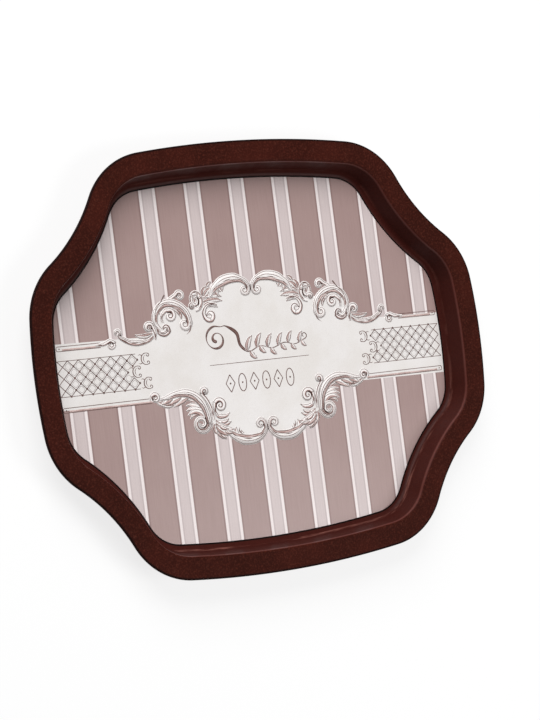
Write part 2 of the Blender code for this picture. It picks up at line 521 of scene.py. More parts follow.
moulded = mouldedTree()
section = profile(rimSection())
sockets = curveFrom("sockets", [socketRing(place) for place in padPlaces.values()], cyclic=True)
values = {
    "Section": section,
    "Upper Height": sheetLow.z - rimShape["sheetGap"],
    "Lower Height": bodyLow.z,
    "Sockets": sockets,
    "Socket Depth": padShape["socketDepth"],
    "Material": bodyFinish(),
}
edge = curveFrom("edge", [outline(0, 0)], cyclic=True)
trayBody = pieceFrom("moulded_body", edge, moulded, values, (section, sockets))
trayBody.data.set_sharp_from_angle(angle=radians(35))
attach(trayBody, "root")
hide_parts("tray_body")

# The printed sheet. Its stripes run from front to back, each pale with a lighter border.
printPlace = {"shift": -0.0006, "turn": radians(-0.45)}  # how far the print sits off the tray's middle

stripeLook = {
    "pitch": 0.03262,
    "centre": -0.0009,
    "width": 0.01175,
    "border": 0.0019,
    "edge": 0.00016,  # softness of a printed edge
    "innerLine": 0.0005,  # how far a thin dark line lies from the border, inside it and outside
    "outerLine": 0.0006,
    "lineCore": 0.0003,  # it fades from this to this, either side of its middle
    "lineFade": 0.0008,
    "mauve": tone(170, 143, 139),
    "mauveDark": tone(143, 116, 113),
    "pale": tone(217, 203, 202),
    "paleDark": tone(198, 184, 184),
    "borderTone": tone(250, 240, 239),
    "wash": tone(198, 176, 170),
    "dots": tone(140, 116, 112),
    "threads": (1500, 46, 1),  # threads, patches and dots for each metre
    "washScale": 30,
}

# A clear film lies over the whole print.
filmLook = {
    "roughness": 0.42,
    "coat": 0.5,
    "coatRoughness": 0.26,
    "specular": 0.3,
    "wave": 14,  # for each metre
    "orangePeel": 900,
    "depth": 0.00002,
    "dots": 2600,  # the dots of the print under it
}


def filmFinish(name):
    look = filmLook
    sockets = {"Coat Weight": look["coat"], "Coat Roughness": look["coatRoughness"]}
    return Finish(name, {"Specular IOR Level": look["specular"], **sockets})


def filmRelief(finish):  # the film lies very slightly uneven
    broad = finish.noise(finish.place, filmLook["wave"], 2, 0.5)
    fine = finish.noise(finish.place, filmLook["orangePeel"], 2, 0.6)
    return finish.bump(broad * 6 + fine * 0.35, filmLook["depth"])


def sheetFinish():
    look = stripeLook
    finish = filmFinish("striped_print")
    turned = finish.add(
        "ShaderNodeMapping",
        {"vector_type": "TEXTURE"},
        {0: finish.place, 1: (printPlace["shift"], 0, 0), 2: (0, 0, printPlace["turn"])},
    ).outputs[0]
    parts = finish.add("ShaderNodeSeparateXYZ", None, {0: turned})
    x = Number(finish, parts.outputs[0])
    turns = (x - look["centre"]) / look["pitch"] + 0.5
    away = abs((turns.math("FRACT", turns) - 0.5) * look["pitch"])
    half, soft, core, fade = look["width"] / 2, look["edge"], look["lineCore"], look["lineFade"]
    inner = half - look["border"]
    pale = 1 - away.ramp(half - soft, half + soft)
    border = away.ramp(inner - soft, inner + soft) * pale
    innerLine = 1 - abs(away - (inner - look["innerLine"])).ramp(core, fade)
    outerLine = 1 - abs(away - (half + look["outerLine"])).ramp(core, fade)

    silk = finish.add("ShaderNodeMapping", None, {0: turned, 3: look["threads"]}).outputs[0]
    threads = finish.noise(silk, 1, 3, 0.6)
    wash = finish.noise(finish.place, look["washScale"], 4, 0.55)
    dots = finish.noise(finish.place, filmLook["dots"], 1, 0.5)

    mauve = finish.mix(threads.ramp(0.3, 0.8) * 0.25, look["mauve"], look["mauveDark"])
    mauve = finish.mix(outerLine * 0.85, mauve, look["mauveDark"])
    inside = finish.mix(threads.ramp(0.35, 0.75) * 0.45, look["pale"], look["paleDark"])
    inside = finish.mix(innerLine * 0.8, inside, look["paleDark"])
    edging = finish.mix(threads.ramp(0.4, 0.8) * 0.2, look["borderTone"], look["pale"])
    colour = finish.mix(pale, mauve, finish.mix(border, inside, edging))
    colour = finish.mix(wash.ramp(0.3, 0.8) * 0.12, colour, look["wash"])
    colour = finish.mix(dots.ramp(0.45, 0.75) * 0.10, colour, look["dots"])
    rough = filmLook["roughness"] + (dots - 0.5) * 0.10 + (wash - 0.5) * 0.10
    finish.paint(Base_Color=colour, Roughness=rough, Normal=filmRelief(finish))
    return finish.material


sheetShape = {"edge": 0.00012, "edgeSteps": 3, "support": 0.0006}


def sheetSection():  # from the top face, round the edge, to the underside
    inset = rimShape["printInset"] + rimShape["sheetGap"]
    edge, steps, inside = sheetShape["edge"], sheetShape["edgeSteps"], inset + sheetShape["support"]
    top = fillet((inset + edge, sheetHigh.z - edge), edge, pi / 2, pi, steps)
    bottom = fillet((inset + edge, sheetLow.z + edge), edge, pi, 3 * pi / 2, steps)
    return [(inside, sheetHigh.z), *top, *bottom, (inside, sheetLow.z)]


def flatTree():  # closed outlines, each filled and given a thickness upwards
    kinds = {"Base Height": "Float", "Thickness": "Float", "Material": "Material"}
    nodes, given = geometryTree("flat_panels", kinds)
    panel = nodes.add("GeometryNodeFillCurve", {"mode": "NGONS"}, {0: given["Geometry"]}).outputs[0]
    sockets = {0: panel, "Offset": nodes.vector(z=given["Base Height"])}
    panel = nodes.add("GeometryNodeSetPosition", None, sockets).outputs[0]
    rise = nodes.vector(z=given["Thickness"])
    sockets = {"Mesh": panel, "Offset": rise, "Offset Scale": 1.0, "Individual": False}
    raised = nodes.add("GeometryNodeExtrudeMesh", None, sockets).outputs[0]
    under = nodes.add("GeometryNodeFlipFaces", None, {0: panel}).outputs[0]
    joined = nodes.add("GeometryNodeJoinGeometry", None, {0: raised})
    nodes.tree.links.new(under, joined.inputs[0])
    sockets = {"Geometry": joined.outputs[0], "Distance": weldDistance}
    whole = nodes.add("GeometryNodeMergeByDistance", None, sockets).outputs[0]
    return closeTree(nodes, whole, given["Material"])


section = profile(sheetSection())
edge = curveFrom("edge", [outline(0, 0)], cyclic=True)
values = {
    "Section": section,
    "Upper Height": sheetHigh.z,
    "Lower Height": sheetLow.z,
    "Material": sheetFinish(),
}
decorSheet = pieceFrom("printed_sheet", edge, moulded, values, (section,))
decorSheet.data.set_sharp_from_angle(angle=radians(50))
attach(decorSheet, "root")
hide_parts("decor_sheet")

# The ribbon, the label and its scrolls, in millimetres from the print's middle. Scrolls are given for
# the left half and then mirrored.
labelShape = {
    "ribbonTop": 18.2,
    "ribbonBottom": -22.4,
    "rodTop": 16.7,
    "rodBottom": -20.9,
    "rodHalf": 1.45,
    "rodTopEnd": -111.0,
    "rodBottomEnd": -80.5,
    "rodRim": -140.3,
    "halo": 0.75,  # off-white left showing round each scroll
    "line": 0.215,  # half the width of a drawn line
    "spacing": 0.5,  # between the points of a drawn line
    "finest": 0.03,  # half the width of the finest line
    "ribbonRise": 0.012,  # heights over the sheet, far too small to see
    "labelRise": 0.018,
    "inkRise": {"ground": 0.028, "tint": 0.031, "ink": 0.034},
    "levelRise": 0.010,  # a scroll of a higher level lies over those of lower levels
    "strokeRise": 0.0006,
    "sunk": 0.002,  # how far each ink reaches into the sheet
    "margin": 0.2,  # left bare at the sheet's ends
}
sheetTop = sheetHigh.z / mm

labelInk = {
    "ground": tone(242, 238, 236),
    "groundWarm": tone(236, 231, 227),
    "scroll": tone(255, 250, 248),
    "scrollWarm": tone(248, 241, 238),
    "tint": tone(220, 194, 189),
    "tintDark": tone(188, 154, 148),
    "ink": tone(100, 72, 66),
    "inkLight": tone(136, 106, 100),
    "lattice": tone(88, 66, 62),
    "latticeLight": tone(120, 96, 92),
    "dots": tone(150, 126, 120),
}


def smoothLine(points, spacing=labelShape["spacing"]):  # a soft curve through the points
    points = [Vector(point) for point in points]
    points = [2 * points[0] - points[1], *points, 2 * points[-1] - points[-2]]
    line = []
    for a, b, c, d in zip(points, points[1:], points[2:], points[3:]):
        count = max(1, ceil((c - b).length / spacing))
        for step in range(count):
            t = step / count
            bend = (2 * a - 5 * b + 4 * c - d) * t**2 + (3 * b - a - 3 * c + d) * t**3
            line.append((2 * b + (c - a) * t + bend) / 2)
    return [*line, points[-2]]


def volute(centre, radius, start, turns, tight, tall=1.0):  # a spiral, from its outside in
    count = ceil(abs(turns) * 10)
    points = []
    for step in range(count + 1):
        share = step / count
        angle = radians(start + 360 * turns * share)
        reach = radius * (1 - (1 - tight) * share)
        points.append((centre[0] + reach * cos(angle), centre[1] + reach * sin(angle) * tall))
    return points


def spread(values, count):  # the values as evenly spaced stops, read off at each point of a line
    read = []
    for index in range(count):
        place = index / (count - 1) * (len(values) - 1)
        stop = min(int(place), len(values) - 2)
        share = (1 - cos(pi * (place - stop))) / 2
        read.append(values[stop] + (values[stop + 1] - values[stop]) * share)
    return read


def beside(line, offsets):  # the line moved to its left by each point's offset
    moved = []
    for index, point in enumerate(line):
        along = line[min(index + 1, len(line) - 1)] - line[max(index - 1, 0)]
        moved.append(point + Vector((-along.y, along.x)).normalized() * offsets[index])
    return moved


drawn = {layer: [] for layer in labelShape["inkRise"]}


def stroke(layer, line, radii, level=0):  # a drawn line, kept at its height over the sheet
    line = [Vector(point) for point in line]
    radii = spread(radii, len(line)) if len(radii) != len(line) else radii
    shape = labelShape
    height = sheetTop + shape["inkRise"][layer] + shape["levelRise"] * level
    height += shape["strokeRise"] * (len(drawn[layer]) % 4)
    finest = shape["finest"]
    drawn[layer].append([(p.x, p.y, height, max(radius, finest)) for p, radius in zip(line, radii)])


def part(line, first, last):  # a stretch of a line, its ends given as shares of it
    count = len(line)
    return line[int(first * count) : max(int(last * count), int(first * count) + 4)]


# How a scroll is drawn. Places run from its middle, 0, to its two edges, -1 and 1.
scrollStyle = {
    "tintAt": 0.66,
    "tintHalf": 0.24,  # a share of the scroll's own half width
    "tintSpan": (0.10, 0.80),  # from its start, 0, to its end, 1
    "plainEdge": (0.6, 0.8, 0.6),  # how hard the pen presses along its two edges
    "shadedEdge": (0.7, 1.3, 1.0),
    "broad": 1.2,  # a scroll wider than this gets a ridge
    "ridgeAt": 0.30,
    "ridgeSpan": (0.08, 0.90),
    "fluteAt": 0.22,
    "fluteStep": 0.26,
    "fluteFrom": 0.06,
    "fluteSpread": 0.62,
    "fluteReach": 0.17,
    "tip": 0.04,  # half the width of a line where it runs out
}


def scroll(points, halves, level, shade, flutes, bold=1.0):
    style, tip = scrollStyle, scrollStyle["tip"]
    line = smoothLine(points)
    halves = spread(halves, len(line))
    thin = labelShape["line"] * bold

    def shifted(share):
        return beside(line, [share * half for half in halves])

    stroke("ground", line, [half + labelShape["halo"] for half in halves], level)
    widths = [half * style["tintHalf"] for half in part(halves, *style["tintSpan"])]
    stroke("tint", part(shifted(style["tintAt"] * shade), *style["tintSpan"]), widths, level)
    for side in (1, -1):
        weights = style["shadedEdge"] if side == shade else style["plainEdge"]
        stroke("ink", shifted(side), [thin * weight for weight in weights], level)
    if max(halves) > style["broad"]:  # a ridge along a broad scroll
        ridge = part(shifted(-style["ridgeAt"] * shade), *style["ridgeSpan"])
        stroke("ink", ridge, [tip, thin, thin * 0.9, tip], level)
    for flute in range(flutes):  # short inner strokes that follow the scroll
        first = style["fluteFrom"] + style["fluteSpread"] * flute / flutes
        at = shade * (style["fluteAt"] + style["fluteStep"] * (flute % 2))
        inner = part(shifted(at), first, first + style["fluteReach"])
        stroke("ink", inner, [tip, thin * 1.5, tip], level)


def frill(points, side, shares, length, width, level, lean=125, bend=-70):  # lobes along a scroll
    line = smoothLine(points)
    for share in shares:
        index = int(share * (len(line) - 2))
        along = degrees(heading(line[index + 1] - line[index]))
        leaf(line[index], along + side * lean, length, side * bend, width, level, side)


leafStyle = {
    "profile": (0.35, 1.0, 0.75),  # its half width from root to tip, as shares of its widest
    "tip": 0.05,
    "halo": 0.7,
    "tintAt": 0.5,
    "tintHalf": 0.4,
    "plainEdge": (0.5, 0.8, 0.5),
    "shadedEdge": (0.6, 1.2, 0.7),
    "veined": 1.15,  # a leaf wider than this gets a vein
}


def leaf(root, towards, length, bend, width, level, shade):  # a pointed leaf, with a vein if broad
    style, thin = leafStyle, labelShape["line"]
    line, angle = [Vector(root)], radians(towards)
    count = ceil(length / labelShape["spacing"])
    for _ in range(count):
        line.append(line[-1] + Vector((cos(angle), sin(angle))) * length / count)
        angle += radians(bend) / count
    halves = spread([share * width for share in style["profile"]] + [style["tip"]], len(line))
    halo = labelShape["halo"] * style["halo"]
    stroke("ground", line, [half + halo for half in halves], level)
    tinted = beside(line, [shade * half * style["tintAt"] for half in halves])
    stroke("tint", tinted, [half * style["tintHalf"] for half in halves], level)
    for side in (1, -1):
        weights = style["shadedEdge"] if side == shade else style["plainEdge"]
        edge = beside(line, [side * half for half in halves])
        stroke("ink", edge, [thin * weight for weight in weights], level)
    if width > style["veined"]:
        vein = line[: len(line) * 2 // 3]
        stroke("ink", vein, [thin, thin * 0.8, labelShape["finest"]], level)


def dot(centre, radius, level):
    steps = [-1, -0.9, -0.6, 0, 0.6, 0.9, 1]
    line = [(centre[0] + radius * step, centre[1]) for step in steps]
    stroke("ink", line, [radius * sqrt(1 - step * step) for step in steps], level)


# Leaves in groups, each a root, a direction, a length, a bend, half a width and a level.
leafGroups = {
    "upper": [  # between the middle horn and the rosette
        ((-35.5, 41.5), 88, 7.0, -60, 1.4, -0.7),
        ((-34.5, 41.0), 62, 8.5, -50, 1.5, 0.15),
        ((-33.0, 42.5), 28, 11.5, -50, 1.7, -0.7),
        ((-35.0, 40.0), 22, 13.5, -45, 1.7, 0.15),
        ((-35.5, 37.5), 14, 14.0, -30, 1.6, 1),
        ((-35.5, 35.5), 12, 10.5, -50, 1.4, 1.85),
        ((-34.5, 40.2), 30, 6.5, -50, 0.8, 1),
        ((-30.5, 44.0), 10, 6.0, -50, 0.8, 0.15),
        ((-32.0, 47.0), 60, 5.0, -50, 0.9, 0.15),
    ],
    "underArch": [
        ((-57.5, 35.0), -20, 6.5, -70, 0.9, 4),
        ((-55.0, 33.5), -40, 6.0, -60, 0.9, 4),
    ],
    "lower": [  # between the curl and the lower horn
        ((-37.0, -37.5), -48, 12.0, 80, 1.6, -0.7),
        ((-37.5, -39.5), -42, 14.5, 45, 1.7, 0.15),
        ((-37.5, -41.5), -52, 13.0, 50, 1.7, 1),
        ((-37.5, -42.5), -72, 10.5, 50, 1.5, -0.7),
        ((-38.5, -40.0), -100, 7.0, 50, 1.3, 0.15),
        ((-35.0, -41.0), -52, 7.5, 60, 0.9, 1.85),
        ((-31.5, -45.0), -38, 6.5, 60, 0.9, 1.85),
        ((-33.5, -38.8), -20, 6.0, 70, 0.9, 1),
        ((-35.0, -46.0), -60, 5.5, 50, 0.8, 1),
    ],
    "fan": [  # a fan inside the lower arch, then lobes that hang from its tail
        ((-43.2, -36.0), 92, 20.5, 88, 1.6, -0.7),
        ((-43.8, -36.0), 96, 18.5, 100, 1.6, 0.15),
        ((-44.4, -36.0), 100, 16.8, 112, 1.6, 1),
        ((-45.0, -36.0), 104, 14.5, 124, 1.6, 1.85),
        ((-45.6, -36.0), 108, 12.0, 138, 1.3, 1),
        ((-55.0, -21.5), 192, 12.0, 28, 1.8, -0.7),
        ((-60.0, -21.0), 190, 11.0, 24, 1.7, 0.15),
        ((-66.0, -21.0), 192, 8.5, 18, 1.4, 1),
    ],
}


def leaves(group, shade=1):
    for root, towards, length, bend, width, level in leafGroups[group]:
        leaf(root, towards, length, bend, width, level, shade)


def topScrolls():
    thin = labelShape["line"]
    leaves("upper")
    horn = [(-31.0, 40.0), (-26.5, 46.0), (-19.5, 50.0), (-12.0, 51.3), (-5.4, 49.6), (-1.8, 46.0)]
    frill(horn, -1, (0.30, 0.46), 7.5, 1.5, 1, 150, -60)
    horn += volute((-4.6, 43.2), 3.0, 0, -0.95, 0.35)
    scroll(horn, [0.4, 1.9, 2.9, 2.7, 1.6, 1.1, 0.8, 0.5], 2, -1, 6)
    hook = [(-26.0, 35.0), (-30.0, 36.0), (-34.2, 34.4), (-36.2, 30.4), (-34.8, 26.9)]
    hook += volute((-32.2, 28.8), 3.0, -90, 0.75, 0.4)
    scroll(hook, [0.3, 0.5, 0.9, 1.2, 1.1, 0.5], 3, -1, 1, 1.3)
    scroll(volute((-41.3, 39.2), 4.6, -100, 1.6, 0.15, 1.35), [1.0, 1.15, 0.85, 0.4], 3, -1, 2)
    scroll(volute((-44.0, 35.6), 1.7, 60, 0.9, 0.4), [0.5, 0.7, 0.3], 4, -1, 0)
    frill(volute((-41.3, 39.2), 3.0, 20, 0.4, 0.8), -1, (0.1, 0.45, 0.8), 2.6, 0.6, 4)
    stem = [(-66.0, 37.0), (-60.5, 40.6), (-55.4, 43.4)]
    scroll(stem + volute((-52.2, 42.9), 2.6, 125, -1.0, 0.3), [0.3, 0.8, 0.8, 0.4], 2, -1, 1)
    arch = [(-68.0, 22.6), (-71.2, 27.0), (-70.8, 32.5), (-66.6, 37.4), (-60.6, 38.9), (-54.0, 36.8)]
    arch += [(-49.0, 32.0), (-47.2, 26.5)]
    frill(arch, -1, (0.36, 0.46, 0.58, 0.70, 0.80), 5.4, 1.0, 2)
    arch += volute((-50.8, 24.9), 3.4, -10, -0.95, 0.3)
    scroll(arch, [0.6, 1.5, 1.9, 2.1, 2.1, 1.6, 1.0, 0.5], 3, -1, 6)
    inner = [(-66.4, 26.8), (-66.6, 31.0), (-63.6, 34.2)]
    scroll(inner + volute((-60.6, 31.0), 3.6, 110, -1.2, 0.25), [0.4, 0.9, 1.1, 0.4], 4, -1, 2)
    leaves("underArch")
    crescent = [(-70.8, 24.4), (-69.6, 21.0), (-66.4, 19.6), (-63.2, 21.2)]
    crescent += volute((-65.0, 23.0), 2.2, -20, 0.6, 0.4)
    scroll(crescent, [0.3, 0.9, 1.3, 0.9, 0.4], 4, -1, 1, 1.5)
    spur = smoothLine([(-47.0, 24.0), (-47.4, 20.8), (-50.4, 18.0)])
    stroke("ink", spur, [thin, 1.6 * thin, 0.05], 4)
    feather = smoothLine([(-71.5, 29.5), (-69.8, 36.0), (-66.0, 40.0), (-62.8, 44.2)])
    stroke("ink", feather, [0.05, thin, 1.2 * thin, 2.2 * thin], 4)
    # Tail that runs out along the ribbon to its rod.
    curl = [(-72.8, 16.6), (-72.4, 21.0), (-73.6, 25.0)]
    scroll(curl + volute((-76.4, 24.6), 2.9, 25, 0.95, 0.3), [0.3, 0.8, 1.0, 0.4], 2, 1, 1, 1.2)
    leaf((-74.6, 21.0), 205, 12.5, -50, 1.3, 2, -1)
    tail = [(-72.6, 22.5), (-75.6, 18.2), (-82.0, 16.0), (-89.6, 16.4), (-95.4, 19.2)]
    scroll(tail + volute((-98.8, 23.2), 2.3, -60, 0.85, 0.4), [0.5, 1.1, 1.4, 1.1, 0.6, 0.4], 1, 1, 4)
    loop = [(-114.5, 16.6), (-108.6, 17.2), (-104.6, 18.7), (-101.6, 17.6)]
    scroll(loop + volute((-103.8, 16.2), 2.3, 20, -0.8, 0.5), [0.3, 0.7, 0.8, 0.6, 0.3], 2, -1, 2)


def bottomScrolls():
    thin = labelShape["line"]
    leaves("lower", -1)
    horn = [(-31.0, -43.6), (-25.0, -48.8), (-18.0, -51.9), (-10.5, -52.2), (-4.6, -50.2)]
    horn.append((-1.6, -46.6))
    frill(horn, 1, (0.34, 0.50), 7.5, 1.5, 1, 150, -60)
    horn += volute((-5.0, -43.2), 3.4, -10, 0.98, 0.32)
    scroll(horn, [0.4, 1.9, 2.8, 2.6, 1.5, 1.0, 0.8, 0.5], 2, 1, 6)
    spur = smoothLine([(-19.0, -48.5), (-21.0, -46.2), (-20.6, -43.6)])
    stroke("ink", spur, [thin, 1.8 * thin, 0.05], 3)
    curl = [(-35.6, -35.0), (-37.2, -31.2), (-36.8, -27.0)]
    scroll(curl + volute((-33.0, -28.4), 4.0, 150, -1.15, 0.25), [0.5, 1.0, 1.2, 0.6], 4.5, -1, 1, 1.3)
    leaf((-37.4, -33.5), -42, 12.0, 85, 1.2, 1.85, -1)
    stem = [(-38.6, -37.5), (-39.6, -30.0), (-42.2, -24.0), (-45.0, -20.4)]
    scroll(stem + volute((-42.7, -18.7), 2.5, 205, -1.05, 0.3), [0.6, 0.7, 0.8, 0.8, 0.4], 3.6, -1, 1)
    arch = [(-75.0, -20.6), (-69.0, -19.8), (-62.5, -18.4), (-55.6, -18.6), (-49.6, -21.4)]
    arch += [(-45.2, -26.4), (-42.8, -32.8), (-42.0, -38.4)]
    arch += volute((-47.5, -38.6), 5.4, -10, -1.5, 0.2)
    scroll(arch, [0.4, 1.5, 2.2, 2.4, 1.9, 1.4, 1.0, 0.8, 0.4], 2.7, -1, 8)
    leaves("fan")
    leaf((-65.5, -25.0), 188, 14.0, -55, 1.3, 0.15, -1)
    scroll(volute((-78.0, -19.3), 3.0, 210, -1.4, 0.25), [0.8, 0.9, 0.7, 0.3], 3.6, -1, 1)


def ovalArc(centre, across, up, first, last, step):  # part of an oval, its ends given in degrees
    x, y = centre
    turns = [radians(turn) for turn in range(first, last + 1, step)]
    return [(x + across * cos(turn), y + up * sin(turn)) for turn in turns]


def rods():  # a rod along each edge of the ribbon, with a rounded nub at the rim
    shape = labelShape
    half, rim, thin = shape["rodHalf"], shape["rodRim"], [shape["line"]] * 2
    for y, end in ((shape["rodTop"], shape["rodTopEnd"]), (shape["rodBottom"], shape["rodBottomEnd"])):
        for side in (1, -1):
            stroke("ink", [(rim, y + side * half), (end, y + side * half)], thin)
        stroke("ink", ovalArc((rim, y), half * 0.6, half, 90, 270, 20), thin)
        dot((rim + 1.2, y), 0.45, 0)
        stroke("tint", [(rim + 3, y - half * 0.45), (end, y - half * 0.45)], [half * 0.35] * 2)


panelCurlPlaces = ((-81.0, 5.6), (-87.8, -1.9), (-81.0, -9.5))


def panelCurls():  # three C-curls at the inner end of each lattice
    thin = labelShape["line"]
    for x, y in panelCurlPlaces:
        back = ovalArc((x, y), 3.4, 3.6, 60, 300, 20)
        stroke("ink", smoothLine(back), [thin * 0.9, thin * 1.6, thin * 0.9])
        inner = ovalArc((x + 0.4, y), 2.3, 2.5, 95, 265, 19)
        stroke("ink", smoothLine(inner), [0.05, thin * 1.1, 0.05])
        for side in (1, -1):
            end = volute((x + 1.2, y + side * 2.3), 1.2, side * 80, side * -0.8, 0.4)
            stroke("ink", smoothLine(end, 0.3), [thin, thin * 1.3])
            tip = [(x - 2.6, y + side * 2.2), (x - 4.2, y + side * 2.9), (x - 5.4, y + side * 2.3)]
            stroke("ink", smoothLine(tip, 0.3), [thin * 1.2, thin, 0.05])


def mirrored():  # each stroke so far, again on the right half
    for strokes in drawn.values():
        strokes += [[(-x, y, z, radius) for x, y, z, radius in line] for line in strokes]


# A sprig in plain pen strokes over a thin rule: a swirl that runs on into a waved stem with leaves.
sprigShape = {
    "swirlCentre": (-29.6, 13.4),
    "swirlRadius": 8.6,
    "stem": [(-21.5, 21.0), (-14.5, 16.0), (-12.6, 8.0), (-6.6, 3.6), (2.0, 6.4), (11.0, 4.4)],
    "end": [(20.0, 7.0), (28.0, 5.4), (34.4, 7.6)],
    "endCurl": (35.6, 10.4),
    "leaves": 6,  # above the stem, and as many below it
    "highLeaf": 11.0,
    "lowLeaf": 7.0,
    "leafWidth": 1.75,
    "taper": 0.32,  # how much smaller the last leaves are
    "thin": 0.24,
    "press": 1.1,
    "rule": -2.9,
    "ruleEnds": (-36.5, 37.5),
}


def sprig():
    shape = sprigShape
    thin, press, width = shape["thin"], shape["press"], shape["leafWidth"]
    swirl = volute(shape["swirlCentre"], shape["swirlRadius"], 62, 1.5, 0.2)
    swirl.reverse()
    curl = volute(shape["endCurl"], 2.2, -75, 0.9, 0.4)
    stem = smoothLine(swirl + shape["stem"] + shape["end"] + curl)
    radii = [press, thin, press * 0.8, thin, press * 0.7, thin, press * 1.1, press * 0.9]
    stroke("ink", stem, radii + [thin * 1.4, thin, thin * 1.4, thin, thin * 1.4, thin], 1)
    dot(swirl[0], 1.15, 1)
    rooted = [point for point in stem if point.x > -9 and point.y < 9]
    for index in range(shape["leaves"]):
        share = index / shape["leaves"]
        small = 1 - shape["taper"] * share
        upper = rooted[int((share + 0.02) * len(rooted))]
        lower = rooted[int((share + 0.07) * len(rooted))]
        leaf(upper, 84, shape["highLeaf"] * small, -42, width * small, 2, 1)
        leaf(lower, -70, shape["lowLeaf"] * small, 50, width * 0.85 * small, 2, -1)
    left, right = shape["ruleEnds"]
    rule = ((left, shape["rule"]), (0, shape["rule"]), (right, shape["rule"]))
    stroke("ink", rule, [0.17, 0.21, 0.17], 1)


def rimEdge(y):  # how far out the sheet reaches at its ends, in the print's millimetres
    inset = rimShape["printInset"] + rimShape["sheetGap"] + labelShape["margin"] * mm
    radius = outlineShape["endRadius"] - inset
    return (trayLength / 2 - outlineShape["endRadius"] + sqrt(radius**2 - (y * mm) ** 2)) / mm


def onTray(point):  # from the print's millimetres to the tray's metres, kept on the sheet
    x, y, z = point[:3]
    turn = printPlace["turn"]
    placed = x * cos(turn) - y * sin(turn) + printPlace["shift"] / mm
    y = x * sin(turn) + y * cos(turn)
    reach = rimEdge(y)
    return (min(max(placed, -reach), reach) * mm, y * mm, z * mm)


def inkFinish(name, light, dark, patches):
    finish = filmFinish(name)
    wash = finish.noise(finish.place, patches, 3, 0.6)
    dots = finish.noise(finish.place, filmLook["dots"], 1, 0.5)
    colour = finish.mix(wash.ramp(0.35, 0.7), light, dark)
    colour = finish.mix(dots.ramp(0.45, 0.8) * 0.12, colour, labelInk["dots"])
    rough = filmLook["roughness"] + (dots - 0.5) * 0.1
    finish.paint(Base_Color=colour, Roughness=rough, Normal=filmRelief(finish))
    return finish.material


# Flat ink lines: each curve gets its own width, and a thin closed body up to its own height.
def strokeTree():
    nodes, given = geometryTree("ink_strokes", {"Base Height": "Float", "Material": "Material"})
    position = nodes.add("GeometryNodeInputPosition").outputs[0]
    parts = nodes.add("ShaderNodeSeparateXYZ", None, {0: position}).outputs
    sockets = {"Geometry": given["Geometry"], "Name": "level", "Value": parts[2]}
    kept = nodes.add("GeometryNodeStoreNamedAttribute", None, sockets).outputs[0]
    upright = nodes.add("GeometryNodeSetCurveNormal", {"mode": "Z_UP"}, {0: kept}).outputs[0]
    nib = nodes.add("GeometryNodeCurvePrimitiveQuadrilateral", None, {"Width": 2.0, "Height": 1.0})
    radius = nodes.add("GeometryNodeInputRadius").outputs[0]
    sockets = {0: upright, 1: nib.outputs[0], "Scale": radius, "Fill Caps": True}
    swept = nodes.add("GeometryNodeCurveToMesh", None, sockets).outputs[0]
    level = nodes.number("GeometryNodeInputNamedAttribute", {"data_type": "FLOAT"}, {"Name": "level"})
    base = Number(nodes, given["Base Height"])
    above = level.math("GREATER_THAN", parts[2], level)
    flat = nodes.vector(parts[0], parts[1], base + above * (level - base))
    sockets = {"Geometry": swept, "Position": flat}
    moved = nodes.add("GeometryNodeSetPosition", None, sockets).outputs[0]
    return closeTree(nodes, moved, given["Material"])


